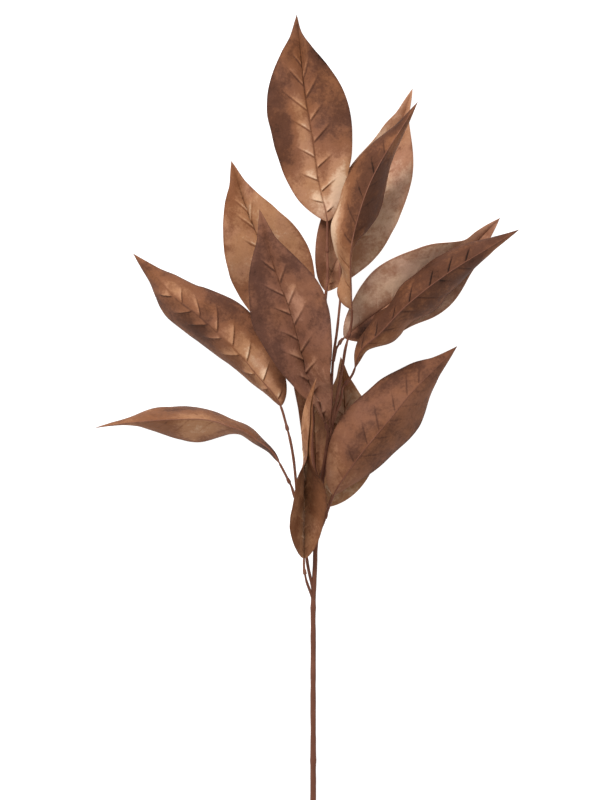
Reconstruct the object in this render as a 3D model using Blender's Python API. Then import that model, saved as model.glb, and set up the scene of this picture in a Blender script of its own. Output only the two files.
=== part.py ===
"""Cut bay branch: one stem with its thin twigs, and thirteen large leaves on the twigs' ends.

The branch lies on its back leaves on the plane z = 0. +Y runs from the cut end to the top leaf, +X is to
the right and +Z is the side that faces the viewer. Lines and widths are in millimetres, scaled by MM.
"""
from collections import namedtuple

import bmesh
import bpy
import numpy as np

MM = 0.001
UP = np.array([0.0, 0.0, 1.0])

# Leaf blade
BLADE_THICKNESS = 0.8
BROADEST = 0.5
BASE_ROUNDNESS = 0.69
BODY_FALL = 1.35
BODY_POWER = 1.8
POINT_SLOPE = 0.9
POINT_BLEND = 0.06
RIB_HALF_WIDTH = 1.3
RIB_LARGEST_SHARE = 0.3
RIB_HEIGHT = 0.7
RIB_HEIGHT_LOST_AT_TIP = 0.8
QUARTER_COLUMN = 0.55
SECTION_COLUMNS = 7
WAVES_PER_BLADE = 2.5
ROUND_UNTIL = 0.06
BLADE_STATIONS = (0, 0.012, 0.03, 0.06, 0.1, 0.15, 0.21, 0.27, 0.33, 0.4, 0.47, 0.54, 0.61, 0.68, 0.74,
                  0.8, 0.86, 0.91, 0.955, 0.985)

# Leaf stalk and the collar that sleeves over the twig's end
STALK_RADIUS = 1.2
STALK_STEP = 5.0
COLLAR_RADIUS = 2.1
COLLAR_LENGTH = 4.8
SHOULDER_LENGTH = 1.0
HOLE_RADIUS = 1.4
HOLE_DEPTH = 4.3
SPUR_LENGTH = 4.0
SPUR_APPROACH = 4.0

# Stem
STEM_SIDES = 8
TWIG_SIDES = 6
STEM_STEP = 14.0
TWIG_STEP = 8.0
TWIG_END_RADIUS = 1.35
TWIG_TIP_RADIUS = 1.05

LEAF_ROUGHNESS = 0.55
STEM_ROUGHNESS = 0.6
STEM_COLOUR = (0.17, 0.075, 0.05)
SHARP_ANGLE = 40

# A leaf's lines: the stalk from its collar, the midrib from base to tip, the half width at the broadest,
# and the lean of the left and right halves above the level, in degrees, at shares of the blade's length.
# Front is 1 where the leaf's face is up and -1 where its back is up. Bow swells each half across, and wave
# is the height of the ripple along the edge.
Leaf = namedtuple("Leaf", "name colour stalk rib half_width lean front bow wave")
LEAVES = (
    Leaf("leaf_top", (0.27, 0.13, 0.075), [(19, 155, 44), (19, 168, 45)],
         [(19, 184, 46), (13, 212, 47), (6, 257, 45), (-2, 305, 37), (-6, 343, 23), (-10, 381, -0.3)],
         40, [(0, 0, 5), (0.3, 12, 8), (0.5, 16, 14), (0.6, 20, 24), (0.7, 26, 44), (0.78, 30, 62),
              (0.87, 28, 74), (1, 20, 70)], 1, 0.05, 1.0),
    Leaf("leaf_upper_right_back", (0.33, 0.19, 0.12), [(17, 107, 34), (17, 112, 33)],
         [(18, 118, 32), (26, 143, 30), (43, 175, 25), (61, 210, 19), (77, 245, 13), (88, 274, 7),
          (100, 311, -0.3)],
         40, [(0, 20, 10), (0.1, 26, 5), (0.2, 20, 6), (0.34, 22, 26), (0.41, 30, 33), (0.5, 40, 37),
              (0.62, 48, 39), (0.7, 51, 46), (0.83, 38, 61), (0.91, 32, 58), (1, 20, 45)], 1, 0.05, 1.0),
    Leaf("leaf_upper_right_front", (0.3, 0.15, 0.08), [(39, 75, 48), (42, 90, 54)],
         [(42, 101, 60), (41, 127, 74), (41, 155, 87), (47, 184, 95), (56, 212, 98), (70, 241, 96),
          (88, 270, 89), (104, 296, 78)],
         42, [(0, 5, -100), (0.05, -24, -101), (0.12, -68, -101), (0.2, -64, -100), (0.25, -59, -98),
              (0.29, -56, -90), (0.33, -55, -77), (0.38, -58, -67), (0.43, -61, -63), (0.5, -59, -64),
              (0.6, -55, -68), (0.8, -53, -70), (1, -50, -60)], -1, 0.1, 1.0),
    Leaf("leaf_right_back", (0.31, 0.18, 0.12), [(30, 68, 37), (32, 71, 37)],
         [(35, 74, 36), (46, 83, 34), (62, 95, 31), (84, 111, 28), (107, 127, 24), (136, 146, 16),
          (159, 164, 8), (183, 188, -0.3)],
         40, [(0, 20, 0), (0.1, 20, 2), (0.29, 19, 33), (0.43, 34, 29), (0.55, 49, 35), (0.66, 60, 49),
              (0.77, 68, 53), (0.88, 45, 40), (1, 20, 20)],
         1, 0.05, 1.0),
    Leaf("leaf_right_front", (0.2, 0.09, 0.055), [(36, 30, 41), (42, 38, 45)],
         [(45, 45, 50), (51, 62, 62), (65, 75, 74), (85, 96, 83), (105, 114, 86), (136, 137, 83),
          (160, 152, 75), (200, 176, 60)],
         42, [(0, -80, -75), (0.11, -66, -68), (0.2, -58, -64), (0.3, -72, -68), (0.41, -66, -62),
              (0.5, -65, -60), (0.6, -61, -66), (0.71, -56, -65), (0.8, -48, -67), (1, -40, -60)],
         -1, 0.1, 1.0),
    Leaf("leaf_upper_left", (0.33, 0.17, 0.09), [(0, 50, 36), (-3, 59, 37)],
         [(-6, 67, 38), (-15, 90, 39), (-25, 118, 38), (-38, 152, 35), (-49, 175, 30), (-60, 204, 21),
          (-72, 242, 6)],
         42, [(0, 2, 10), (0.3, 1, 18), (0.4, 6, 20), (0.5, 23, 28), (0.6, 36, 39), (0.7, 41, 48),
              (0.79, 39, 56), (0.87, 36, 53), (1, 25, 40)], 1, 0.05, 1.0),
    Leaf("leaf_centre_front", (0.16, 0.07, 0.05), [(18.7, -12, 36.5), (17.9, -9, 38.2)],
         [(17, -6, 39), (15, 0, 42), (8, 19, 48), (2, 30, 53), (-2, 45, 57), (-7, 65, 62), (-14, 92, 66),
          (-20, 110, 69), (-27, 128, 71), (-32, 144, 71), (-45, 195, 66)],
         42, [(0, 80, 52), (0.1, 80, 54), (0.18, 75, 52), (0.26, 60, 49), (0.35, 46, 44), (0.45, 34, 37),
              (0.55, 25, 30), (0.63, 24, 25), (0.72, 25, 27), (0.83, 24, 38), (1, 20, 30)],
         1, 0.05, 1.0),
    Leaf("leaf_left", (0.28, 0.14, 0.08), [(-18.5, -13.3, 35), (-21, -4, 36)],
         [(-25, 9, 37), (-33, 22, 38), (-47, 38, 38.5), (-61, 55, 39.4), (-77, 71, 39.4), (-92, 85, 38),
          (-107, 98, 36), (-122, 109, 32), (-136, 124, 25), (-165, 154, 8)],
         42, [(0, -75, -20), (0.07, -74, -10), (0.25, -70, -26), (0.42, -67, -30), (0.48, -66, -34),
              (0.55, -62, -42), (0.62, -58, -46), (0.74, -52, -40), (0.85, -48, -42), (1, -30, -48)],
         1, 0.08, 0.4),
    Leaf("leaf_left_drooping", (0.27, 0.13, 0.07), [(-16.6, -63.3, 29), (-21, -54.5, 33)],
         [(-26, -45, 36), (-34, -33, 38), (-47, -23, 40), (-59, -15, 40.5), (-70, -11, 40.5),
          (-90, -4.5, 40), (-117, -3, 39), (-147, -4.5, 35), (-173, -7, 31), (-200, -11, 26)],
         42, [(0, -80, -80), (0.2, -80, -80), (0.28, -83, -80), (0.38, -69, -77), (0.48, -59, -75),
              (0.58, -58, -73), (0.66, -63, -70), (0.74, -71, -65), (0.85, -82, -68), (1, -90, -60)],
         -1, 0.05, 1.0),
    Leaf("leaf_lower_front", (0.22, 0.1, 0.055), [(-2, -150, 20), (-3, -143, 22)],
         [(-3, -135, 24), (-3, -110, 30), (-3, -80, 37), (-3, -55, 45), (-4, -32, 55), (-5, -11, 68),
          (-1.5, 12, 81), (9, 36, 91)],
         42, [(0, 60, 52), (0.14, 64, 55), (0.26, 70, 55), (0.38, 76, 59), (0.48, 79, 66), (0.54, 82, 72),
              (0.59, 87, 76), (0.64, 94, 77), (0.69, 99, 75), (0.75, 106, 68), (0.84, 118, 54),
              (0.91, 122, 49), (1, 122, 49)],
         1, 0.05, 0.5),
    Leaf("leaf_lower_right_back", (0.19, 0.1, 0.05), [(15, -98, 17), (17, -92, 17)],
         [(19, -86, 16), (27, -65, 12), (34, -40, 7), (36, -13, 4), (35, 20, 2), (32, 56, 0.5)],
         33, [(0, 0, 8), (0.4, -2, 8), (0.6, 10, 25), (0.8, 42, 45), (1, 30, 30)], 1, 0.03, 0.6),
    Leaf("leaf_centre_back", (0.17, 0.08, 0.05), [(11, -72, 19), (10, -66, 18)],
         [(9, -60, 16), (8, -40, 14), (7, -12, 13), (6, 15, 13), (4, 50, 14), (0, 85, 16), (-4, 112, 18)],
         22, [(0, 50, 43), (0.25, 47, 43), (0.42, 43, 43), (0.5, 36, 43), (1, 30, 43)], 1, 0.05, 0.6),
    Leaf("leaf_lower_right_front", (0.22, 0.1, 0.07), [(17, -97, 26), (21, -85, 31)],
         [(25, -75, 36), (39, -52, 45), (53, -33, 50), (67, -16, 53), (82, 2, 53), (95, 18, 50),
          (107, 31, 46), (118, 42, 41), (142, 66, 26)],
         41, [(0, -10, -50), (0.3, -14, -50), (0.38, -23, -49), (0.47, -32, -48), (0.56, -34, -49),
              (0.65, -33, -50), (0.73, -35, -52), (0.84, -24, -52), (0.93, -28, -48), (1, -30, -50)],
         -1, 0.08, 1.0),
)

# A twig's lines: its route, its radius at both ends, and the leaf whose collar it carries, if any.
# Each twig starts on the middle of what it grows from.
Twig = namedtuple("Twig", "points start_radius end_radius carries")
MAIN_STEM = Twig([(5.7, -381, 2.68), (5.7, -280, 5), (5.7, -200, 8.5), (6, -170, 11), (7.4, -142, 14),
                  (8.2, -122, 17), (11, -99, 21), (14, -61, 26), (19, -30, 30)],
                 2.9, 2.0, "leaf_centre_front")
TWIGS = (
    Twig([(18.5, -32, 30), (23.5, -11, 33), (25.8, 5.7, 36.7), (28.9, 21, 40), (31.4, 36, 42), (34, 50, 44),
          (36.2, 64, 45.5)], 1.8, TWIG_END_RADIUS, "leaf_upper_right_front"),
    Twig([(19.5, -29, 30), (22.2, -5, 32.5), (22.8, 15, 35), (23.6, 40, 37), (25.7, 63, 39), (27.9, 78, 40),
          (29.9, 96, 40), (31.4, 115, 39.5), (30.9, 136, 38.5), (31.5, 146, 37)],
         1.6, TWIG_TIP_RADIUS, None),
    Twig([(23, 27, 36), (19.5, 50, 38.5), (17.6, 80, 41), (17.3, 112, 43), (18.8, 125, 43.5),
          (19.3, 142, 43.7)], 1.45, TWIG_END_RADIUS, "leaf_top"),
    Twig([(18, 76, 40.7), (17.5, 90, 38)], 1.45, TWIG_END_RADIUS, "leaf_upper_right_back"),
    Twig([(24.6, 52, 38), (26.5, 60, 38)], 1.45, TWIG_END_RADIUS, "leaf_right_back"),
    Twig([(24.2, -6, 34), (28.2, 5, 36.5), (30.9, 13, 38), (32.6, 20.5, 38.7)],
         1.45, TWIG_END_RADIUS, "leaf_right_front"),
    Twig([(13, -69, 25), (7, -48, 28), (4.5, -25, 30), (5, 0, 32), (4, 25, 34)],
         1.45, TWIG_END_RADIUS, "leaf_upper_left"),
    Twig([(6, -168, 11.2), (4, -158, 12.5), (1, -144, 14), (-1, -131, 16), (-5, -108, 19), (-10, -70, 25),
          (-12.5, -44, 29), (-15, -28, 32)], 1.5, TWIG_END_RADIUS, "leaf_left"),
    Twig([(-8.3, -84.6, 22.7), (-12, -76, 25)], 1.45, TWIG_END_RADIUS, "leaf_left_drooping"),
    Twig([(5.8, -174, 10.8), (2, -164, 15)], 1.5, TWIG_END_RADIUS, "leaf_lower_front"),
    Twig([(8.5, -119, 17.4), (12, -108, 17.2)], 1.45, TWIG_END_RADIUS, "leaf_lower_right_back"),
    Twig([(11, -99, 21), (12, -86, 20.5)], 1.45, TWIG_END_RADIUS, "leaf_centre_back"),
    Twig([(9, -114, 18.3), (13, -106, 22)], 1.45, TWIG_END_RADIUS, "leaf_lower_right_front"),
)


class Smooth:
    """A natural cubic curve through values at the given knots."""

    def __init__(self, knots, values):
        self.knots = np.array(knots, float)
        self.values = np.array(values, float)
        gaps = np.diff(self.knots)
        matrix = np.eye(len(self.knots))
        target = np.zeros_like(self.values)
        for i in range(1, len(self.knots) - 1):
            matrix[i, i - 1:i + 2] = gaps[i - 1], 2 * (gaps[i - 1] + gaps[i]), gaps[i]
            ahead = (self.values[i + 1] - self.values[i]) / gaps[i]
            behind = (self.values[i] - self.values[i - 1]) / gaps[i - 1]
            target[i] = 6 * (ahead - behind)
        self.bends = np.linalg.solve(matrix, target)

    def at(self, place):
        i = int(np.clip(np.searchsorted(self.knots, place) - 1, 0, len(self.knots) - 2))
        gap = self.knots[i + 1] - self.knots[i]
        b = (place - self.knots[i]) / gap
        a = 1 - b
        straight = a * self.values[i] + b * self.values[i + 1]
        return straight + ((a**3 - a) * self.bends[i] + (b**3 - b) * self.bends[i + 1]) * gap**2 / 6


def unit(vector):
    return vector / np.linalg.norm(vector)


def path_through(points):
    """A smooth line through the points, measured by the length along it."""
    points = np.array(points, float)
    steps = np.linalg.norm(np.diff(points, axis=0), axis=1)
    return Smooth(np.concatenate(([0.0], np.cumsum(steps))), points)


def frame_on(path, place):
    """The point on a path, the way it runs, the level direction to its left, and the one above it."""
    last = path.knots[-1]
    along = unit(path.at(min(place + 0.5, last)) - path.at(max(place - 0.5, 0)))
    side = unit(np.cross(UP, along))
    return path.at(place), along, side, np.cross(along, side)


def outline(s):
    """Half width of the blade as a share of its widest: round at the base, drawn out to a long point."""
    if s < BROADEST:
        return (1 - (1 - s / BROADEST) ** 2) ** BASE_ROUNDNESS
    u = (s - BROADEST) / (1 - BROADEST)
    body = 1 - BODY_FALL * u**BODY_POWER
    point = POINT_SLOPE * (1 - u)
    return (body + point + np.hypot(body - point, POINT_BLEND * u)) / 2


class Blade:
    """The middle surface of a leaf: s runs from base 0 to tip 1, v from the right edge -1 to the left 1."""

    def __init__(self, leaf):
        self.leaf = leaf
        self.path = path_through(list(leaf.stalk) + list(leaf.rib))
        self.base = self.path.knots[len(leaf.stalk)]
        self.length = self.path.knots[-1] - self.base
        rows = np.array(leaf.lean, float)
        self.lean = Smooth(rows[:, 0], np.radians(rows[:, 1:]))

    def width(self, s):
        return max(self.leaf.half_width * outline(s), STALK_RADIUS)

    def half(self, s, hand):
        """The place on the midrib, and the directions out along one half and square to its face."""
        here, _, side, up = frame_on(self.path, self.base + s * self.length)
        lean = self.lean.at(s)[0 if hand > 0 else 1]
        out = np.cos(lean) * hand * side + np.sin(lean) * up
        face = -np.sin(lean) * hand * side + np.cos(lean) * up
        return here, out, face

    def column(self, s, v):
        """A point of the surface and the direction square to it."""
        reach = abs(v)
        hand = 1 if v > 0 else -1
        here, out, face = self.half(s, hand)
        width = self.width(s)
        ripple = np.sin(2 * np.pi * (WAVES_PER_BLADE * s + 0.25 * hand)) * outline(s)
        lift = 4 * self.leaf.bow * width * reach * (1 - reach) + self.leaf.wave * reach**2 * ripple
        if v == 0:
            face = unit(face + self.half(s, 1)[2])
        return here + reach * width * out + lift * face, face


def circle(centre, side, up, radius, count):
    """Points round a centre, starting just above the left side and running over the top."""
    turn = [np.pi - 2 * np.pi * (i + 0.5) / count for i in range(count)]
    return [centre + radius * (-np.cos(a) * side + np.sin(a) * up) for a in turn]


def blade_ring(blade, s):
    """Points round the blade's section: over its top from left to right, and back below."""
    rib = min(RIB_HALF_WIDTH / blade.width(s), RIB_LARGEST_SHARE)
    columns = (1, QUARTER_COLUMN, rib, 0, -rib, -QUARTER_COLUMN, -1)
    top = []
    bottom = []
    for v in columns:
        point, face = blade.column(s, v)
        above = below = BLADE_THICKNESS / 2
        if v == 0:
            ridge = RIB_HEIGHT * (1 - RIB_HEIGHT_LOST_AT_TIP * s)
            above += ridge if blade.leaf.front < 0 else 0
            below += ridge if blade.leaf.front > 0 else 0
        top.append(point + above * face)
        bottom.append(point - below * face)
    return top + bottom[::-1]


def rest_on_surface(rings):
    """Flattens what would dip under the surface that the branch lies on."""
    half = len(rings[0]) // 2
    for ring in rings:
        for i, point in enumerate(ring):
            low = 0.0
            if i < half and point[2] < BLADE_THICKNESS and ring[-1 - i][2] <= 0:
                low = BLADE_THICKNESS
            point[2] = max(point[2], low)


def leaf_rings(leaf):
    """All rings of a leaf, from the bottom of the collar's hole to the last one before the tip."""
    blade = Blade(leaf)
    count = 2 * SECTION_COLUMNS
    mouth, along, side, up = frame_on(blade.path, 0)
    rings = [circle(mouth + HOLE_DEPTH * along, side, up, HOLE_RADIUS, count),
             circle(mouth, side, up, HOLE_RADIUS, count),
             circle(mouth, side, up, COLLAR_RADIUS, count),
             circle(mouth + COLLAR_LENGTH * along, side, up, COLLAR_RADIUS, count)]
    start = COLLAR_LENGTH + SHOULDER_LENGTH
    steps = max(int((blade.base - start) / STALK_STEP), 1)
    for i in range(steps):
        here, _, side, up = frame_on(blade.path, start + (blade.base - start) * i / steps)
        rings.append(circle(here, side, up, STALK_RADIUS, count))
    blade_rings = []
    for s in BLADE_STATIONS:
        here, _, side, up = frame_on(blade.path, blade.base + s * blade.length)
        ring = blade_ring(blade, s)
        share = min(s / ROUND_UNTIL, 1)
        share = share * share * (3 - 2 * share)
        stalk = circle(here, side, up, STALK_RADIUS, count)
        blade_rings.append([(1 - share) * a + share * b for a, b in zip(stalk, ring)])
    hole_end = mouth + HOLE_DEPTH * along
    tip = blade.path.at(blade.path.knots[-1])
    tip[2] = max(tip[2], 0)
    rest_on_surface(blade_rings)
    return hole_end, rings + blade_rings, tip


def closed_mesh(name, first, rings, last):
    """A closed skin over rings of equal count, with a point at both ends, split alike on both faces."""
    count = len(rings[0])
    mesh = bmesh.new()
    start = mesh.verts.new(first * MM)
    end = mesh.verts.new(last * MM)
    loops = [[mesh.verts.new(point * MM) for point in ring] for ring in rings]
    for i in range(count):
        after = (i + 1) % count
        mesh.faces.new((start, loops[0][i], loops[0][after]))
        mesh.faces.new((end, loops[-1][after], loops[-1][i]))
    for near, far in zip(loops, loops[1:]):
        for i in range(count):
            after = (i + 1) % count
            if i < count // 2:
                mesh.faces.new((near[i], far[i], far[after]))
                mesh.faces.new((near[i], far[after], near[after]))
            else:
                mesh.faces.new((near[i], far[i], near[after]))
                mesh.faces.new((far[i], far[after], near[after]))
    bmesh.ops.recalc_face_normals(mesh, faces=mesh.faces)
    data = bpy.data.meshes.new(name)
    mesh.to_mesh(data)
    mesh.free()
    return data


def add_object(name, data, colour, roughness):
    material = bpy.data.materials.new(name + "_finish")
    material.use_nodes = True
    shader = material.node_tree.nodes["Principled BSDF"]
    shader.inputs["Base Color"].default_value = (*colour, 1)
    shader.inputs["Roughness"].default_value = roughness
    shader.inputs["Metallic"].default_value = 0
    data.materials.append(material)
    data.shade_smooth()
    data.set_sharp_from_angle(angle=np.radians(SHARP_ANGLE))
    thing = bpy.data.objects.new(name, data)
    bpy.context.scene.collection.objects.link(thing)
    return thing


def add_leaf(leaf):
    first, rings, tip = leaf_rings(leaf)
    return add_object(leaf.name, closed_mesh(leaf.name, first, rings, tip), leaf.colour,
                      LEAF_ROUGHNESS)


def twig_route(twig):
    """The twig's points, ending straight in the collar of the leaf that it carries."""
    points = [np.array(point, float) for point in twig.points]
    for leaf in LEAVES:
        if leaf.name == twig.carries:
            mouth, along, _, _ = frame_on(Blade(leaf).path, 0)
            points += [mouth - SPUR_APPROACH * along, mouth, mouth + SPUR_LENGTH * along]
    return points


def tube(name, twig, sides, step):
    """A tapering round twig with flat ends."""
    path = path_through(twig_route(twig))
    length = path.knots[-1]
    steps = max(int(length / step), 2)
    taper_end = length - (SPUR_APPROACH + SPUR_LENGTH if twig.carries else 0)
    shares = [i / steps for i in range(steps + 1)]
    places = [taper_end * share for share in shares]
    radii = [twig.start_radius + (twig.end_radius - twig.start_radius) * share for share in shares]
    if twig.carries:
        radii[-1] = TWIG_TIP_RADIUS
        places.append(length)
        radii.append(TWIG_TIP_RADIUS)
    rings = []
    for place, radius in zip(places, radii):
        here, _, side, up = frame_on(path, place)
        rings.append(circle(here, side, up, radius, sides))
    return closed_mesh(name, path.at(0), rings, path.at(length))


def add_stem():
    """The main stem with every twig joined to it as one body."""
    stem = add_object("stem", tube("stem", MAIN_STEM, STEM_SIDES, STEM_STEP), STEM_COLOUR, STEM_ROUGHNESS)
    side_twigs = bpy.data.collections.new("side_twigs")
    bpy.context.scene.collection.children.link(side_twigs)
    for i, twig in enumerate(TWIGS):
        data = tube(f"twig_{i}", twig, TWIG_SIDES, TWIG_STEP)
        side_twigs.objects.link(bpy.data.objects.new(f"twig_{i}", data))
    union = stem.modifiers.new("union", "BOOLEAN")
    union.operation = "UNION"
    union.solver = "EXACT"
    union.operand_type = "COLLECTION"
    union.collection = side_twigs
    joined = bpy.data.meshes.new_from_object(stem.evaluated_get(bpy.context.evaluated_depsgraph_get()))
    stem.modifiers.clear()
    stem.data = joined
    for twig in list(side_twigs.objects):
        bpy.data.objects.remove(twig)
    bpy.data.collections.remove(side_twigs)
    return stem


def main():
    for thing in list(bpy.data.objects):
        bpy.data.objects.remove(thing)
    add_stem()
    for leaf in LEAVES:
        add_leaf(leaf)


main()
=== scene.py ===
"""Looks of the bay leaf branch: veined, mottled brown leaves and a wrapped stem, seen from straight above.

Lines and widths are in millimetres, scaled by MM. A blade's place is given by s, from its base 0 to its
tip 1, and by v, from its right edge -1 to its left edge 1 as the viewer sees it from above.
"""
from collections import namedtuple

import bpy
import numpy as np
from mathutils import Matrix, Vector, noise


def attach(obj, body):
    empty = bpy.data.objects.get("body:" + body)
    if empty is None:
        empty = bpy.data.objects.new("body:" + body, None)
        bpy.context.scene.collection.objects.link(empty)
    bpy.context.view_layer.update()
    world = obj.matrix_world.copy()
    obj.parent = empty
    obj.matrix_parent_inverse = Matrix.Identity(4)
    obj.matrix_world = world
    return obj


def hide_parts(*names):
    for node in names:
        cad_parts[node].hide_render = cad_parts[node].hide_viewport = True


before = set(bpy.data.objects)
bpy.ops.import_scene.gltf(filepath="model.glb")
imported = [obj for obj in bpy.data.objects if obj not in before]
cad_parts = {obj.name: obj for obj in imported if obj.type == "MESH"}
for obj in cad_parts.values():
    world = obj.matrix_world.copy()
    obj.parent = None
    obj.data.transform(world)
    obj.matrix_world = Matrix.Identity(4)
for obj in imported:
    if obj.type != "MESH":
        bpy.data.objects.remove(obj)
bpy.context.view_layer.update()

MM = 0.001
UP = np.array([0.0, 0.0, 1.0])
DIRECTION_STEP = 0.5
SHARP_DEGREES = 50
NOISE_START_PER_SEED = (7.3, 3.1, 1.0)

# Leaf blade
BROADEST = 0.5
BASE_ROUNDNESS = 0.69
BODY_FALL = 1.35
BODY_POWER = 1.8
POINT_SLOPE = 0.9
POINT_BLEND = 0.06
WAVES_PER_BLADE = 2.5
WAVE_PHASE = 0.25
ROWS = 230
COLUMNS = 91
ROW_CROWDING = 0.35
COLUMN_CROWDING = 0.55
MIDDLE_THICKNESS = 0.7
EDGE_THICKNESS = 0.4
SMALLEST_HALF_WIDTH = 0.15
EDGE_ROUGHNESS = 0.012
EDGE_ROUGHNESS_PER_MM = 0.06
EDGES_APART_IN_NOISE = 5
EDGE_SHADE = 0.1
EDGE_BAND = 0.05

# Veins
VEINS_PER_HALF = 7
FIRST_VEIN = 0.07
LAST_VEIN = 0.8
VEIN_STAGGER = 0.25
VEIN_SCATTER = 0.12
VEIN_REACH = (0.45, 0.72)
VEIN_FADE_FROM = 0.35
VEIN_START_FROM_RIB = 2.0
BASE_VEIN_ANGLE = 64
TIP_VEIN_ANGLE = 38
VEIN_BEND = 0.001
FACE_VEIN_HEIGHT = 1.7
FACE_VEIN_SLOPE = 3.4
FACE_VEIN_STEP = 0.75
FACE_VEIN_FOOT = 1.0
FACE_VEIN_FOOT_HALF_WIDTH = 0.6
BACK_VEIN_DEPTH = 0.8
BACK_VEIN_HALF_WIDTH = 0.7
BACK_VEIN_ON_RIGHT = 0.55
GROOVE_HALF_WIDTH = 0.6
GROOVE_DEPTH = 0.4
GROOVE_END = 0.95
GROOVE_FADE = 0.25

# How strongly the parts of a vein change the tone: a painted highlight on the crest's slope, painted shadow
# at its foot, painted shade in the midrib's groove and the back's slits, and a weaker share of these on the
# underside
CREST_HIGHLIGHT_PAINT = 0.75
FOOT_SHADOW_PAINT = 0.9
GROOVE_SHADE_PAINT = 0.3
UNDERSIDE_VEIN_SHADING = 0.4

# Unevenness of the blade
CRUMPLE_HEIGHT = 1.2
CRUMPLE_PER_MM = 0.028
PUCKER_HEIGHT = 0.3
PUCKER_PER_MM = 0.1
PUCKER_SEED_STEP = 20
CRUMPLE_FROM_RIB = 6
FULL_RELIEF_WIDTH = 12

# Midrib and stalk
STALK_RADIUS = 1.2
STALK_IN_COLLAR = 2
STALK_BEFORE_BLADE = 0.5
STALK_STEP = 1.5
RIB_BASE_RADIUS = 0.9
RIB_TIP_RADIUS = 0.25
RIB_TAPER_POWER = 0.45
RIB_STAND = 0.2
RIB_STAND_RISE = 0.05
RIB_STAND_FALL = 0.5
RIB_ROW_STEP = 2
RIB_PALER = 0.05
RIB_SIDES = 12

# Collar: places along the stalk and radii, from its bore round its mouth and down its outer side
COLLAR_SIDES = 24
COLLAR_SHAPE = ((4.3, 1.3), (0.0, 1.3), (0.0, 1.6), (0.3, 1.78), (1.0, 1.82), (3.2, 1.75), (4.6, 1.5),
                (5.6, 1.22), (6.6, 1.12))
COLLAR_END = COLLAR_SHAPE[-1][0]
SPUR_LENGTH = 4.0
SPUR_APPROACH = 4.0

# Stem
STEM_SIDES = 28
TWIG_SIDES = 16
TUBE_STEP = 2.5
TWIG_END_RADIUS = 1.35
TWIG_TIP_RADIUS = 1.05
STEM_LUMP_HEIGHT = 0.12
STEM_LUMPS_PER_MM = 0.09
# Swellings where the stem's wrapping ends: place along Y, height and half width
WRAP_ENDS = ((-182, 0.35, 3.0), (-327, 0.3, 2.5), (-62, 0.25, 4.0))
FORK_SWELLING = 0.3
FORK_LENGTH = 4.0
STEM_TONE = 0.4
# Painted light: the stem and twigs are paler towards the top, where the leaves shade them
TWIG_PAINTED_LIGHT = 0.25
PAINTED_LIGHT_FROM = -50
PAINTED_LIGHT_OVER = 50

# The order of a mesh's materials
BLADE_SLOT = 0
RIB_SLOT = 1
STEM_SLOT = 0

# Picture: the photo's height, its scale, and its middle in the object's frame
PHOTO_HEIGHT_PX = 800
MM_PER_PX = 0.95
PHOTO_MIDDLE = (-6.8, 15.2)

# Camera and studio: the sensor in millimetres, other lengths and places in metres
CAMERA_HEIGHT = 10.0
SENSOR_HEIGHT = 24.0
VIEW_END = 100
FLOOR_REACH = 60
FLOOR_GREY = 0.4
FLOOR_GLOW = 0.9
SKY_STRENGTH = 0.8
KEY_PLACE = (-0.9, 2.0, 2.3)
KEY_TARGET = (0, 0.02, 0)
KEY_WIDTH = 1.0
KEY_POWER = 95
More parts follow.
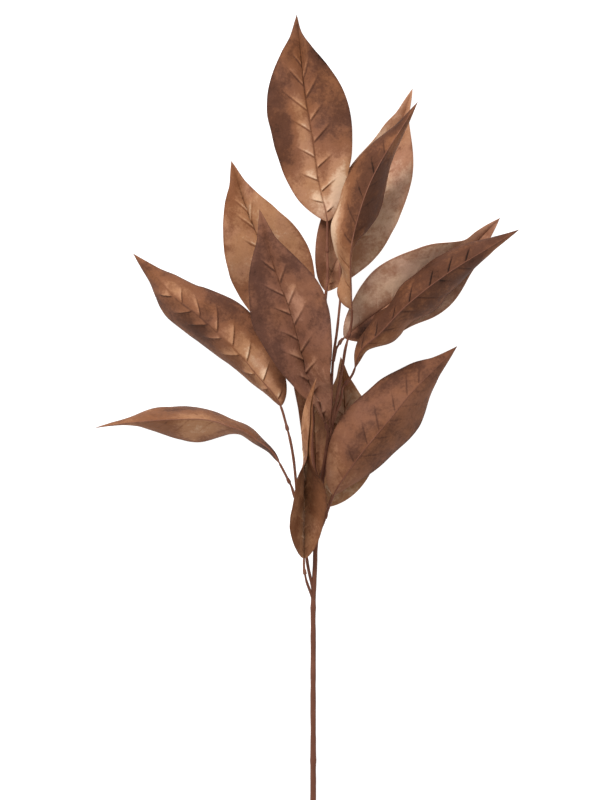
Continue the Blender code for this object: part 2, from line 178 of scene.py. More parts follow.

# A leaf has points along its stalk and its midrib, and half its greatest width. A row of lean has an s, and
# by how many degrees the left and the right half rise from level there. Front is 1 where the viewer sees the
# leaf's face and -1 where its back, bow is how far each half arches as a share of its width, and wave is the
# height of its edge's waves. Then come how strong its veins are, and its colour: coolness from copper 0 to
# taupe 1, tone from dark 0 to pale 1, and patches. A patch has its middle s and v, its size in s and v, and
# what it adds to the tone. The patches are partly the leaf's own stains and partly painted light and shade:
# painted shadow where another leaf shades this one, painted shade on steep halves, painted highlights beside
# some midribs, and painted light in folds and creases that the blade's own shape shades.
Leaf = namedtuple("Leaf", "name stalk rib half_width lean front bow wave veins coolness tone patches")
LEAVES = (
    Leaf("leaf_top", [(19, 155, 44), (19, 168, 45)],
         [(19, 184, 46), (13, 212, 47), (6, 257, 45), (-2, 305, 37), (-6, 343, 23), (-10, 381, -0.3)],
         40, [(0, 0, 5), (0.3, 12, 8), (0.5, 16, 14), (0.6, 20, 24), (0.7, 26, 44), (0.78, 30, 62),
              (0.87, 28, 74), (1, 20, 70)], 1, 0.05, 1.0,
         1.0, 0.1, 0.43,
         [(0.05, 0.2, 0.19, 1.4, 0.44), (0.18, -0.75, 0.13, 0.4, 0.44), (0.42, 0.2, 0.2, 0.25, 0.34),
          (0.16, -0.25, 0.14, 0.25, -0.14), (0.42, 0.85, 0.16, 0.35, -0.18),
          # The patch at s 0.72 on the right edge is painted shade where the edge folds away.
          (0.72, -0.95, 0.06, 0.3, -0.25), (0.5, -0.6, 0.2, 0.4, -0.14), (0.5, 0.8, 0.2, 0.3, -0.04)]),
    Leaf("leaf_upper_right_back", [(17, 107, 34), (17, 112, 33)],
         [(18, 118, 32), (26, 143, 30), (43, 175, 25), (61, 210, 19), (77, 245, 13), (88, 274, 7),
          (100, 311, -0.3)],
         40, [(0, 20, 10), (0.1, 26, 5), (0.2, 20, 6), (0.34, 22, 26), (0.41, 30, 33), (0.5, 40, 37),
              (0.62, 48, 39), (0.7, 51, 46), (0.83, 38, 61), (0.91, 32, 58), (1, 20, 45)], 1, 0.05, 1.0,
         0.7, 0.28, 0.88,
         # The first patch is a painted shadow on the left part, which the leaf in front shades.
         [(0.2, 0.7, 0.3, 0.5, -0.42), (0.12, -0.3, 0.15, 0.4, -0.3), (0.74, -0.35, 0.13, 0.6, -0.16),
          (0.05, -0.8, 0.07, 0.4, -0.2), (0.93, 0.0, 0.1, 1.5, -0.2)]),
    Leaf("leaf_upper_right_front", [(39, 75, 48), (42, 90, 54)],
         [(42, 101, 60), (41, 127, 74), (41, 155, 87), (47, 184, 95), (56, 212, 98), (70, 241, 96),
          (88, 270, 89), (104, 296, 78)],
         42, [(0, 5, -100), (0.05, -24, -101), (0.12, -68, -101), (0.2, -64, -100), (0.25, -59, -98),
              (0.29, -56, -90), (0.33, -55, -77), (0.38, -58, -67), (0.43, -61, -63), (0.5, -59, -64),
              (0.6, -55, -68), (0.8, -53, -70), (1, -50, -60)], -1, 0.1, 1.0,
         0.7, 0.0, 0.47,
         # The patch of 0.6 is painted light on the steep left half, and the patch of -0.24 is painted shade
         # on the right half.
         [(0.1, 0.4, 0.16, 0.8, 0.33), (0.36, 0.85, 0.14, 0.4, 0.6), (0.55, 0.2, 0.2, 0.35, -0.16),
          (0.88, 0.6, 0.2, 0.7, -0.27), (0.48, -0.5, 0.24, 0.5, -0.24)]),
    Leaf("leaf_right_back", [(30, 68, 37), (32, 71, 37)],
         [(35, 74, 36), (46, 83, 34), (62, 95, 31), (84, 111, 28), (107, 127, 24), (136, 146, 16),
          (159, 164, 8), (183, 188, -0.3)],
         40, [(0, 20, 0), (0.1, 20, 2), (0.29, 19, 33), (0.43, 34, 29), (0.55, 49, 35), (0.66, 60, 49),
              (0.77, 68, 53), (0.88, 45, 40), (1, 20, 20)],
         1, 0.05, 1.0,
         # The pale tone is partly painted light, as the leaf faces away from the lamp, and the patch of -0.9
         # on the lower half near the base is a painted shadow of the leaf in front.
         0.2, 0.4, 0.85,
         [(0.17, 0.45, 0.05, 0.2, -0.2), (0.13, -0.45, 0.14, 0.5, -0.9), (0.97, -0.2, 0.16, 1.4, -0.35),
          (0.5, 0.35, 0.16, 0.4, 0.24), (0.1, 0.4, 0.12, 0.25, 0.15), (0.64, -0.8, 0.15, 0.4, -0.14)]),
    Leaf("leaf_right_front", [(36, 30, 41), (42, 38, 45)],
         [(45, 45, 50), (51, 62, 62), (65, 75, 74), (85, 96, 83), (105, 114, 86), (136, 137, 83),
          (160, 152, 75), (200, 176, 60)],
         42, [(0, -80, -75), (0.11, -66, -68), (0.2, -58, -64), (0.3, -72, -68), (0.41, -66, -62),
              (0.5, -65, -60), (0.6, -61, -66), (0.71, -56, -65), (0.8, -48, -67), (1, -40, -60)],
         -1, 0.1, 1.0,
         1.3, 0.05, 0.28,
         [(0.03, 0.3, 0.06, 0.5, 0.2), (0.15, -0.3, 0.09, 0.4, 0.3), (0.27, -0.8, 0.12, 0.4, 0.2),
          (0.92, -0.5, 0.12, 0.7, 0.25), (0.55, -0.5, 0.2, 0.5, 0.04)]),
    Leaf("leaf_upper_left", [(0, 50, 36), (-3, 59, 37)],
         [(-6, 67, 38), (-15, 90, 39), (-25, 118, 38), (-38, 152, 35), (-49, 175, 30), (-60, 204, 21),
          (-72, 242, 6)],
         42, [(0, 2, 10), (0.3, 1, 18), (0.4, 6, 20), (0.5, 23, 28), (0.6, 36, 39), (0.7, 41, 48),
              (0.79, 39, 56), (0.87, 36, 53), (1, 25, 40)], 1, 0.05, 1.0,
         1.1, 0.05, 0.6,
         [(0.5, 0.85, 0.1, 0.4, 0.2), (0.36, 0.9, 0.06, 0.4, -0.15), (0.55, -0.4, 0.15, 0.5, 0.22),
          (0.75, 0.8, 0.12, 0.5, -0.15)]),
    Leaf("leaf_centre_front", [(18.7, -12, 36.5), (17.9, -9, 38.2)],
         [(17, -6, 39), (15, 0, 42), (8, 19, 48), (2, 30, 53), (-2, 45, 57), (-7, 65, 62), (-14, 92, 66),
          (-20, 110, 69), (-27, 128, 71), (-32, 144, 71), (-45, 195, 66)],
         42, [(0, 80, 52), (0.1, 80, 54), (0.18, 75, 52), (0.26, 60, 49), (0.35, 46, 44), (0.45, 34, 37),
              (0.55, 25, 30), (0.63, 24, 25), (0.72, 25, 27), (0.83, 24, 38), (1, 20, 30)],
         1, 0.05, 1.0,
         1.0, 0.4, 0.39,
         # The first patch is painted light at the base, where the fold shades it, the thin patch along the
         # midrib is painted light on it, and the patch at s 0.57 is a painted highlight beside it.
         [(0.12, 0.0, 0.12, 1.2, 0.42), (0.57, -0.25, 0.12, 0.3, 0.24), (0.5, 0.0, 0.6, 0.04, 0.2),
          (0.6, 0.8, 0.3, 0.3, -0.12), (0.35, 0.2, 0.12, 0.3, 0.12)]),
    Leaf("leaf_left", [(-18.5, -13.3, 35), (-21, -4, 36)],
         [(-25, 9, 37), (-33, 22, 38), (-47, 38, 38.5), (-61, 55, 39.4), (-77, 71, 39.4), (-92, 85, 38),
          (-107, 98, 36), (-122, 109, 32), (-136, 124, 25), (-165, 154, 8)],
         42, [(0, -75, -20), (0.07, -74, -10), (0.25, -70, -26), (0.42, -67, -30), (0.48, -66, -34),
              (0.55, -62, -42), (0.62, -58, -46), (0.74, -52, -40), (0.85, -48, -42), (1, -30, -48)],
         1, 0.08, 0.4,
         1.1, 0.1, 0.44,
         # The first patch is a painted highlight beside the midrib.
         [(0.22, -0.2, 0.2, 0.3, 0.38), (0.1, 0.7, 0.15, 0.4, 0.2), (0.6, 0.5, 0.15, 0.6, -0.16),
          (0.97, 0.3, 0.12, 0.9, -0.15), (0.55, -0.8, 0.12, 0.3, -0.12), (0.75, -0.3, 0.1, 0.4, 0.1)]),
    Leaf("leaf_left_drooping", [(-16.6, -63.3, 29), (-21, -54.5, 33)],
         [(-26, -45, 36), (-34, -33, 38), (-47, -23, 40), (-59, -15, 40.5), (-70, -11, 40.5),
          (-90, -4.5, 40), (-117, -3, 39), (-147, -4.5, 35), (-173, -7, 31), (-200, -11, 26)],
         42, [(0, -80, -80), (0.2, -80, -80), (0.28, -83, -80), (0.38, -69, -77), (0.48, -59, -75),
              (0.58, -58, -73), (0.66, -63, -70), (0.74, -71, -65), (0.85, -82, -68), (1, -90, -60)],
         -1, 0.05, 1.0,
         0.35, 0.0, 0.46,
         [(0.47, 0.3, 0.13, 0.6, 0.4), (0.12, 0.0, 0.14, 1.5, -0.1), (0.55, -0.5, 0.18, 0.4, -0.14),
          (0.3, -0.3, 0.06, 0.5, 0.12), (0.88, 0.2, 0.12, 0.8, 0.12)]),
    Leaf("leaf_lower_front", [(-2, -150, 20), (-3, -143, 22)],
         [(-3, -135, 24), (-3, -110, 30), (-3, -80, 37), (-3, -55, 45), (-4, -32, 55), (-5, -11, 68),
          (-1.5, 12, 81), (9, 36, 91)],
         42, [(0, 60, 52), (0.14, 64, 55), (0.26, 70, 55), (0.38, 76, 59), (0.48, 79, 66), (0.54, 82, 72),
              (0.59, 87, 76), (0.64, 94, 77), (0.69, 99, 75), (0.75, 106, 68), (0.84, 118, 54),
              (0.91, 122, 49), (1, 122, 49)],
         1, 0.05, 0.5,
         0.45, 0.0, 0.55,
         # The patches along v 0 are painted light in the crease between the halves and on the midrib in it.
         [(0.25, 0.1, 0.35, 0.35, 0.2), (0.5, 0.0, 0.1, 0.5, 0.5), (0.45, -0.8, 0.25, 0.4, -0.17),
          (0.07, 0.3, 0.1, 0.5, 0.14), (0.35, 0.0, 0.4, 0.06, 0.4), (0.6, 0.7, 0.08, 0.5, -0.1)]),
    Leaf("leaf_lower_right_back", [(15, -98, 17), (17, -92, 17)],
         [(19, -86, 16), (27, -65, 12), (34, -40, 7), (36, -13, 4), (35, 20, 2), (32, 56, 0.5)],
         33, [(0, 0, 8), (0.4, -2, 8), (0.6, 10, 25), (0.8, 42, 45), (1, 30, 30)], 1, 0.03, 0.6,
         0.6, 0.05, 0.74,
         [(0.7, 0.0, 0.15, 1.0, 0.14)]),
    Leaf("leaf_centre_back", [(11, -72, 19), (10, -66, 18)],
         [(9, -60, 16), (8, -40, 14), (7, -12, 13), (6, 15, 13), (4, 50, 14), (0, 85, 16), (-4, 112, 18)],
         22, [(0, 50, 43), (0.25, 47, 43), (0.42, 43, 43), (0.5, 36, 43), (1, 30, 43)], 1, 0.05, 0.6,
         0.5, 0.05, 0.58,
         [(0.4, -0.2, 0.15, 0.6, 0.1)]),
    Leaf("leaf_lower_right_front", [(17, -97, 26), (21, -85, 31)],
         [(25, -75, 36), (39, -52, 45), (53, -33, 50), (67, -16, 53), (82, 2, 53), (95, 18, 50),
          (107, 31, 46), (118, 42, 41), (142, 66, 26)],
         41, [(0, -10, -50), (0.3, -14, -50), (0.38, -23, -49), (0.47, -32, -48), (0.56, -34, -49),
              (0.65, -33, -50), (0.73, -35, -52), (0.84, -24, -52), (0.93, -28, -48), (1, -30, -50)],
         -1, 0.08, 1.0,
         0.55, 0.21, 0.4,
         [(0.05, 0.4, 0.12, 0.8, 0.3), (0.42, -0.2, 0.15, 0.2, -0.14), (0.65, 0.6, 0.2, 0.5, -0.06),
          (0.35, -0.6, 0.35, 0.5, 0.0), (0.27, 0.25, 0.1, 0.25, -0.14), (0.12, 0.85, 0.16, 0.4, 0.2)]),
)

# A twig has points along its middle, its radius at each end, and the leaf that it carries
Twig = namedtuple("Twig", "points start_radius end_radius carries")
MAIN_STEM = Twig([(5.7, -381, 2.9), (5.7, -280, 5), (5.7, -200, 8.5), (6, -170, 11), (7.4, -142, 14),
                  (8.2, -122, 17), (11, -99, 21), (14, -61, 26), (19, -30, 30)],
                 2.9, 2.0, "leaf_centre_front")
TWIGS = (
    Twig([(18.5, -32, 30), (23.5, -11, 33), (25.8, 5.7, 36.7), (28.9, 21, 40), (31.4, 36, 42), (34, 50, 44),
          (36.2, 64, 45.5)], 1.8, TWIG_END_RADIUS, "leaf_upper_right_front"),
    Twig([(19.5, -29, 30), (22.2, -5, 32.5), (22.8, 15, 35), (23.6, 40, 37), (25.7, 63, 39), (27.9, 78, 40),
          (29.9, 96, 40), (31.4, 115, 39.5), (30.9, 136, 38.5), (31.5, 146, 37)],
         1.6, TWIG_TIP_RADIUS, None),
    Twig([(23, 27, 36), (19.5, 50, 38.5), (17.6, 80, 41), (17.3, 112, 43), (18.8, 125, 43.5),
          (19.3, 142, 43.7)], 1.45, TWIG_END_RADIUS, "leaf_top"),
    Twig([(18, 76, 40.7), (17.5, 90, 38)], 1.45, TWIG_END_RADIUS, "leaf_upper_right_back"),
    Twig([(24.6, 52, 38), (26.5, 60, 38)], 1.45, TWIG_END_RADIUS, "leaf_right_back"),
    Twig([(24.2, -6, 34), (28.2, 5, 36.5), (30.9, 13, 38), (32.6, 20.5, 38.7)],
         1.45, TWIG_END_RADIUS, "leaf_right_front"),
    Twig([(13, -69, 25), (7, -48, 28), (4.5, -25, 30), (5, 0, 32), (4, 25, 34)],
         1.45, TWIG_END_RADIUS, "leaf_upper_left"),
    Twig([(6, -168, 11.2), (4, -158, 12.5), (1, -144, 14), (-1, -131, 16), (-5, -108, 19), (-10, -70, 25),
          (-12.5, -44, 29), (-15, -28, 32)], 1.5, TWIG_END_RADIUS, "leaf_left"),
    Twig([(-8.3, -84.6, 22.7), (-12, -76, 25)], 1.45, TWIG_END_RADIUS, "leaf_left_drooping"),
    Twig([(5.8, -174, 10.8), (2, -164, 15)], 1.5, TWIG_END_RADIUS, "leaf_lower_front"),
    Twig([(8.5, -119, 17.4), (12, -108, 17.2)], 1.45, TWIG_END_RADIUS, "leaf_lower_right_back"),
    Twig([(11, -99, 21), (12, -86, 20.5)], 1.45, TWIG_END_RADIUS, "leaf_centre_back"),
    Twig([(9, -114, 18.3), (13, -106, 22)], 1.45, TWIG_END_RADIUS, "leaf_lower_right_front"),
)

# Colours from the darkest to the palest, each with its place on the tone scale
COPPER_DYE = ((0.0, (0.02, 0.008, 0.0045)), (0.25, (0.083, 0.0315, 0.0165)), (0.5, (0.185, 0.073, 0.033)),
              (0.74, (0.33, 0.16, 0.08)), (1.0, (0.55, 0.37, 0.24)))
TAUPE_DYE = ((0.0, (0.025, 0.012, 0.0095)), (0.25, (0.085, 0.039, 0.03)), (0.5, (0.185, 0.086, 0.065)),
             (0.74, (0.33, 0.165, 0.128)), (1.0, (0.57, 0.325, 0.25)))
BARK_DYE = ((0.0, (0.043, 0.0155, 0.0095)), (0.5, (0.124, 0.0445, 0.025)), (1.0, (0.26, 0.108, 0.066)))
STALK_DYE = ((0.0, (0.053, 0.019, 0.012)), (0.5, (0.15, 0.056, 0.033)), (1.0, (0.29, 0.13, 0.08)))

# Mottling: what it adds to the seed, the noise's scale, detail, roughness, distortion and stretch, and how
# much it moves the tone
Mottle = namedtuple("Mottle", "seed_step scale detail roughness distortion stretch amount")
EVEN = (1, 1, 1)
ALONG_Y = (1, 0.12, 1)
CLOUDS = Mottle(0, 26, 3.0, 0.5, 0.4, EVEN, 0.6)
SMUDGES = Mottle(5, 80, 4.0, 0.6, 0.3, EVEN, 0.4)
SPECKS = Mottle(9, 380, 3.0, 0.6, 0.0, EVEN, 0.26)
GRAIN = Mottle(13, 1500, 2.0, 0.7, 0.0, EVEN, 0.14)
WASHES = Mottle(17, 34, 3.0, 0.5, 0.3, EVEN, 0.8)
BARK_STREAKS = Mottle(0, 700, 4.0, 0.6, 0.0, ALONG_Y, 0.5)
BARK_PATCHES = Mottle(3, 60, 3.0, 0.6, 0.0, EVEN, 0.6)
MOTTLE_START_PER_SEED = (1.7, 0.9, 0.4)
VEIN_SHADING_TONE = 0.3
BARK_DARKER = 0.45

# Surfaces: roughness, gloss, and the height of their bumps
LEAF_ROUGHNESS = 0.55
SMUDGE_ROUGHNESS = 0.2
LEAF_GLOSS = 0.07
SMUDGE_HEIGHT = 0.9
SPECK_HEIGHT = 0.3
SPECK_STRENGTH = 0.8
BARK_ROUGHNESS = 0.65
BARK_GLOSS = 0.15
STREAK_HEIGHT = 0.3
FLOOR_ROUGHNESS = 0.9
FLOOR_GLOSS = 0.1

# Seeds of the stem's parts; the leaves have theirs from 1
STALK_LOOK_SEED = 31
BARK_LOOK_SEED = 40
STEM_SEED = 50
FIRST_TWIG_SEED = 60


class Smooth:
    """A smooth curve through values at the given knots, with no bend at its two ends."""

    def __init__(self, knots, values):
        self.knots = np.array(knots, float)
        self.values = np.array(values, float)
        gaps = np.diff(self.knots)
        matrix = np.eye(len(self.knots))
        target = np.zeros_like(self.values)
        for i in range(1, len(self.knots) - 1):
            matrix[i, i - 1:i + 2] = gaps[i - 1], 2 * (gaps[i - 1] + gaps[i]), gaps[i]
            ahead = (self.values[i + 1] - self.values[i]) / gaps[i]
            behind = (self.values[i] - self.values[i - 1]) / gaps[i - 1]
            target[i] = 6 * (ahead - behind)
        self.bends = np.linalg.solve(matrix, target)

    def at(self, place):
        i = int(np.clip(np.searchsorted(self.knots, place) - 1, 0, len(self.knots) - 2))
        gap = self.knots[i + 1] - self.knots[i]
        b = (place - self.knots[i]) / gap
        a = 1 - b
        straight = a * self.values[i] + b * self.values[i + 1]
        return straight + ((a**3 - a) * self.bends[i] + (b**3 - b) * self.bends[i + 1]) * gap**2 / 6


def unit(vector):
    return vector / np.linalg.norm(vector)


def path_through(points):
    """A smooth line through the points, measured by the length along it."""
    points = np.array(points, float)
    steps = np.linalg.norm(np.diff(points, axis=0), axis=1)
    return Smooth(np.concatenate(([0.0], np.cumsum(steps))), points)


def frame_on(path, place):
    """The point on a path, the way it runs, the level direction to its left, and the one above it."""
    last = path.knots[-1]
    along = unit(path.at(min(place + DIRECTION_STEP, last)) - path.at(max(place - DIRECTION_STEP, 0)))
    side = unit(np.cross(UP, along))
    return path.at(place), along, side, np.cross(along, side)


def ease(share):
    """Runs smoothly from 0 to 1 as the share does."""
    share = np.clip(share, 0, 1)
    return share * share * (3 - 2 * share)


def bump_at(distance, half_width):
    """A round bump, 1 at no distance and near 0 past twice its half width."""
    return np.exp(-(distance / half_width) ** 2)


def outline(s):
    """Half width of the blade as a share of its widest: round at the base, drawn out to a long point."""
    if s < BROADEST:
        return (1 - (1 - s / BROADEST) ** 2) ** BASE_ROUNDNESS
    u = (s - BROADEST) / (1 - BROADEST)
    body = 1 - BODY_FALL * u**BODY_POWER
    point = POINT_SLOPE * (1 - u)
    return (body + point + np.hypot(body - point, POINT_BLEND * u)) / 2


def noise_at(points, per_mm, seed):
    """Smooth noise from -1 to 1 at points in millimetres."""
    start = Vector([seed * step for step in NOISE_START_PER_SEED])
    return np.array([noise.noise(Vector(point * per_mm) + start) for point in points])


class Blade:
    """A leaf's blade as rows of points: its middle surface, the direction square to it, and its veins."""

    def __init__(self, leaf, seed):
        self.leaf = leaf
        self.seed = seed
        self.path = path_through(leaf.stalk + leaf.rib)
        self.base = self.path.knots[len(leaf.stalk)]
        self.length = self.path.knots[-1] - self.base
        t = np.linspace(0, 1, ROWS)
        self.s = t * (1 - ROW_CROWDING + ROW_CROWDING * t)
        t = np.linspace(-1, 1, COLUMNS)
        self.v = t * (1 - COLUMN_CROWDING + COLUMN_CROWDING * np.abs(t))
        self.lay_rows()
        self.press_veins()
        self.raise_surface()

    def lay_rows(self):
        """Lays each half of the blade out from the midrib, leaned, arched and waved."""
        rows = np.array(self.leaf.lean, float)
        lean_at = Smooth(rows[:, 0], np.radians(rows[:, 1:]))
        reach = np.abs(self.v)[:, None]
        hand = np.where(self.v > 0, 1.0, -1.0)[:, None]
        self.points = np.empty((ROWS, COLUMNS, 3))
        self.faces = np.empty((ROWS, COLUMNS, 3))
        self.widths = np.empty(ROWS)
        for i, s in enumerate(self.s):
            here, _, side, up = frame_on(self.path, self.base + s * self.length)
            left, right = lean_at.at(s)
            lean = np.where(hand > 0, left, right)
            out = np.cos(lean) * hand * side + np.sin(lean) * up
            face = -np.sin(lean) * hand * side + np.cos(lean) * up
            width = max(self.leaf.half_width * outline(s), SMALLEST_HALF_WIDTH)
            along = s * self.length * EDGE_ROUGHNESS_PER_MM
            rough = np.where(hand > 0, noise.noise(Vector((along, EDGES_APART_IN_NOISE, self.seed))),
                             noise.noise(Vector((along, -EDGES_APART_IN_NOISE, self.seed))))
            reach_mm = reach * width * (1 + EDGE_ROUGHNESS * rough * reach)
            ripple = np.sin(2 * np.pi * (WAVES_PER_BLADE * s + WAVE_PHASE * hand)) * outline(s)
            arch = 4 * reach * (1 - reach)
            lift = self.leaf.bow * width * arch + self.leaf.wave * reach**2 * ripple
            middle = COLUMNS // 2
            face[middle] = unit(face[middle - 1] + face[middle + 1])
            self.points[i] = here + reach_mm * out + lift * face
            self.faces[i] = face
            self.widths[i] = width

    def press_veins(self):
        """Veins as relief and painted light. The face has raised side veins and a groove, the back has
        slits; the paint is a painted highlight on each crest's slope, painted shadow at its foot, and
        painted shade in the groove and the slits.
        """
        x = (self.s * self.length)[:, None]
        share_out = np.abs(self.v)[None, :]
        y = share_out * self.widths[:, None]
        hand = np.where(self.v > 0, 1.0, -1.0)[None, :]
        random = np.random.default_rng(self.seed)
        relief = np.zeros((ROWS, COLUMNS))
        paint = np.zeros((ROWS, COLUMNS))
        front = self.leaf.front > 0
        spacing = (LAST_VEIN - FIRST_VEIN) / VEINS_PER_HALF
        for side in (-1, 1):
            half = hand == side
            for k in range(VEINS_PER_HALF):
                scatter = random.uniform(-VEIN_SCATTER, VEIN_SCATTER)
                start = FIRST_VEIN + spacing * (k + VEIN_STAGGER * side + scatter)
                angle = np.radians(BASE_VEIN_ANGLE + (TIP_VEIN_ANGLE - BASE_VEIN_ANGLE) * k / VEINS_PER_HALF)
                reach = random.uniform(*VEIN_REACH)
                run = y / np.tan(angle) + VEIN_BEND * y * y
                across = (x - start * self.length - run) * np.sin(angle)
                fade = half * (1 - ease((share_out / reach - VEIN_FADE_FROM) / (1 - VEIN_FADE_FROM)))
                if front:
                    slope = np.exp(-np.maximum(across, 0) / FACE_VEIN_SLOPE)
                    crest = np.where(across > 0, slope, bump_at(across, FACE_VEIN_STEP))
                    foot = bump_at(across + FACE_VEIN_FOOT, FACE_VEIN_FOOT_HALF_WIDTH)
                    relief += fade * FACE_VEIN_HEIGHT * crest
                    # painted highlight on the crest's slope, less painted shadow at its foot
                    paint += fade * (CREST_HIGHLIGHT_PAINT * crest - FOOT_SHADOW_PAINT * foot)
                else:
                    slit = bump_at(across, BACK_VEIN_HALF_WIDTH) * (1 if side > 0 else BACK_VEIN_ON_RIGHT)
                    relief -= fade * BACK_VEIN_DEPTH * slit
                    # painted shade in the slit
                    paint -= fade * slit
        groove = bump_at(y, GROOVE_HALF_WIDTH) * ease((GROOVE_END - x / self.length) / GROOVE_FADE)
        beside = ease(y / VEIN_START_FROM_RIB)
        relief *= self.leaf.veins * beside
        paint *= self.leaf.veins * beside
        if front:
            relief -= GROOVE_DEPTH * groove
            # painted shade in the midrib's groove
            paint -= GROOVE_SHADE_PAINT * groove
        self.full = ease(self.widths / FULL_RELIEF_WIDTH)[:, None]
        self.relief = relief * self.full
        self.paint = paint * self.full

    def raise_surface(self):
        """Moves the blade's points by its veins, its crumple and its pucker, and keeps it off the floor."""
        points = self.points.reshape(-1, 3)
        crumple = CRUMPLE_HEIGHT * noise_at(points, CRUMPLE_PER_MM, self.seed)
        pucker = PUCKER_HEIGHT * noise_at(points, PUCKER_PER_MM, self.seed + PUCKER_SEED_STEP)
        from_rib = np.abs(self.v)[None, :] * self.widths[:, None]
        uneven = (crumple + pucker).reshape(ROWS, COLUMNS) * ease(from_rib / CRUMPLE_FROM_RIB)
        lift = self.relief + self.full * uneven
        self.points += lift[:, :, None] * self.faces
        self.points[:, :, 2] = np.maximum(self.points[:, :, 2], MIDDLE_THICKNESS / 2)

    def tones(self):
        """How pale the colour is, before the material's own mottling: the dye, with painted light and shade
        in some patches.
        """
        s = self.s[:, None]
        v = self.v[None, :]
        tone = np.full((ROWS, COLUMNS), self.leaf.tone)
        for s_middle, v_middle, s_size, v_size, amount in self.leaf.patches:
            tone += amount * bump_at(s - s_middle, s_size) * bump_at(v - v_middle, v_size)
        return tone - EDGE_SHADE * bump_at(1 - np.abs(v), EDGE_BAND)


def ring(centre, side, up, radius, count):
    """Points round a circle, in the order that makes a tube's faces point out."""
    turn = np.linspace(0, 2 * np.pi, count, endpoint=False)[:, None]
    return centre + radius * (np.cos(turn) * side + np.sin(turn) * up)


class Mesh:
    """Gathers points with their tone and their vein values, which are painted highlight and shade along the
    veins, and faces with their material's place in the list.
    """

    def __init__(self):
        self.points = []
        self.tone = []
        self.vein = []
        self.faces = []
        self.looks = []

    def add(self, points, tone, vein=0.0):
        start = len(self.points)
        self.points += [tuple(p) for p in np.asarray(points).reshape(-1, 3) * MM]
        self.tone += list(np.broadcast_to(tone, (len(self.points) - start,)))
        self.vein += list(np.broadcast_to(vein, (len(self.points) - start,)))
        return start

    def face(self, corners, look):
        self.faces.append(corners)
        self.looks.append(look)

    def add_tube(self, rings, tone, look, capped=(True, True)):
        count = len(rings[0])
        start = self.add(np.concatenate(rings), tone)
        for i in range(len(rings) - 1):
            for j in range(count):
                a = start + i * count + j
                b = start + i * count + (j + 1) % count
                self.face((a, b, b + count, a + count), look)
        last = start + (len(rings) - 1) * count
        if capped[0]:
            self.face(tuple(start + j for j in reversed(range(count))), look)
        if capped[1]:
            self.face(tuple(last + j for j in range(count)), look)

    def make(self, name, looks):
        data = bpy.data.meshes.new(name)
        data.from_pydata(self.points, [], self.faces)
        data.polygons.foreach_set("material_index", self.looks)
        for label, values in (("tone", self.tone), ("vein", self.vein)):
            layer = data.attributes.new(label, "FLOAT", "POINT")
            layer.data.foreach_set("value", np.array(values, np.float32))
        for look in looks:
            data.materials.append(look)
        data.update()
        data.shade_smooth()
        data.set_sharp_from_angle(angle=np.radians(SHARP_DEGREES))
        thing = bpy.data.objects.new(name, data)
        bpy.context.scene.collection.objects.link(thing)
        return thing


def add_blade(mesh, blade):
    """The blade's upper and lower surfaces, joined round its edge."""
    thickness = MIDDLE_THICKNESS + (EDGE_THICKNESS - MIDDLE_THICKNESS) * np.abs(blade.v)
    half = (thickness / 2)[None, :, None]
    tone = blade.tones()
    top = mesh.add(blade.points + half * blade.faces, tone.ravel(), blade.paint.ravel())
    # The underside gets a weaker share of the veins' painted highlight and shade.
    under = mesh.add(blade.points - half * blade.faces, tone.ravel(), UNDERSIDE_VEIN_SHADING * blade.paint.ravel())
    for i in range(ROWS - 1):
        for j in range(COLUMNS - 1):
            a = i * COLUMNS + j
            b = a + COLUMNS
            mesh.face((top + a, top + b, top + b + 1, top + a + 1), BLADE_SLOT)
            mesh.face((under + a, under + a + 1, under + b + 1, under + b), BLADE_SLOT)
        right = i * COLUMNS
        left = right + COLUMNS - 1
        mesh.face((top + right, under + right, under + right + COLUMNS, top + right + COLUMNS), BLADE_SLOT)
        mesh.face((top + left, top + left + COLUMNS, under + left + COLUMNS, under + left), BLADE_SLOT)
    for j in range(COLUMNS - 1):
        tip = (ROWS - 1) * COLUMNS + j
        mesh.face((top + j, top + j + 1, under + j + 1, under + j), BLADE_SLOT)
        mesh.face((top + tip, under + tip, under + tip + 1, top + tip + 1), BLADE_SLOT)


def add_rib(mesh, blade):
    """The stalk, and the midrib as it runs on behind the blade."""
    rings = []
    for place in np.arange(COLLAR_END - STALK_IN_COLLAR, blade.base - STALK_BEFORE_BLADE, STALK_STEP):
        here, _, side, up = frame_on(blade.path, place)
        rings.append(ring(here, side, up, STALK_RADIUS, RIB_SIDES))
    middle = COLUMNS // 2
    for i in range(0, ROWS, RIB_ROW_STEP):
        s = blade.s[i]
        _, _, side, up = frame_on(blade.path, blade.base + s * blade.length)
        radius = RIB_BASE_RADIUS + (RIB_TIP_RADIUS - RIB_BASE_RADIUS) * s**RIB_TAPER_POWER
        stand = RIB_STAND * ease(s / RIB_STAND_RISE) * (1 - RIB_STAND_FALL * s)
        centre = blade.points[i, middle] - blade.leaf.front * stand * blade.faces[i, middle]
        rings.append(ring(centre, side, up, radius, RIB_SIDES))
    mesh.add_tube(rings, blade.leaf.tone + RIB_PALER, RIB_SLOT)


def add_collar(mesh, blade):
    mouth, along, side, up = frame_on(blade.path, 0)
    rings = [ring(mouth + place * along, side, up, radius, COLLAR_SIDES) for place, radius in COLLAR_SHAPE]
    mesh.add_tube(rings, blade.leaf.tone, RIB_SLOT, capped=(True, False))


def twig_route(twig):
    """The twig's points, ending straight in the collar of the leaf that it carries."""
    points = [np.array(point, float) for point in twig.points]
    for leaf in LEAVES:
        if leaf.name == twig.carries:
            mouth, along, _, _ = frame_on(path_through(leaf.stalk + leaf.rib), 0)
            points += [mouth - SPUR_APPROACH * along, mouth, mouth + SPUR_LENGTH * along]
    return points


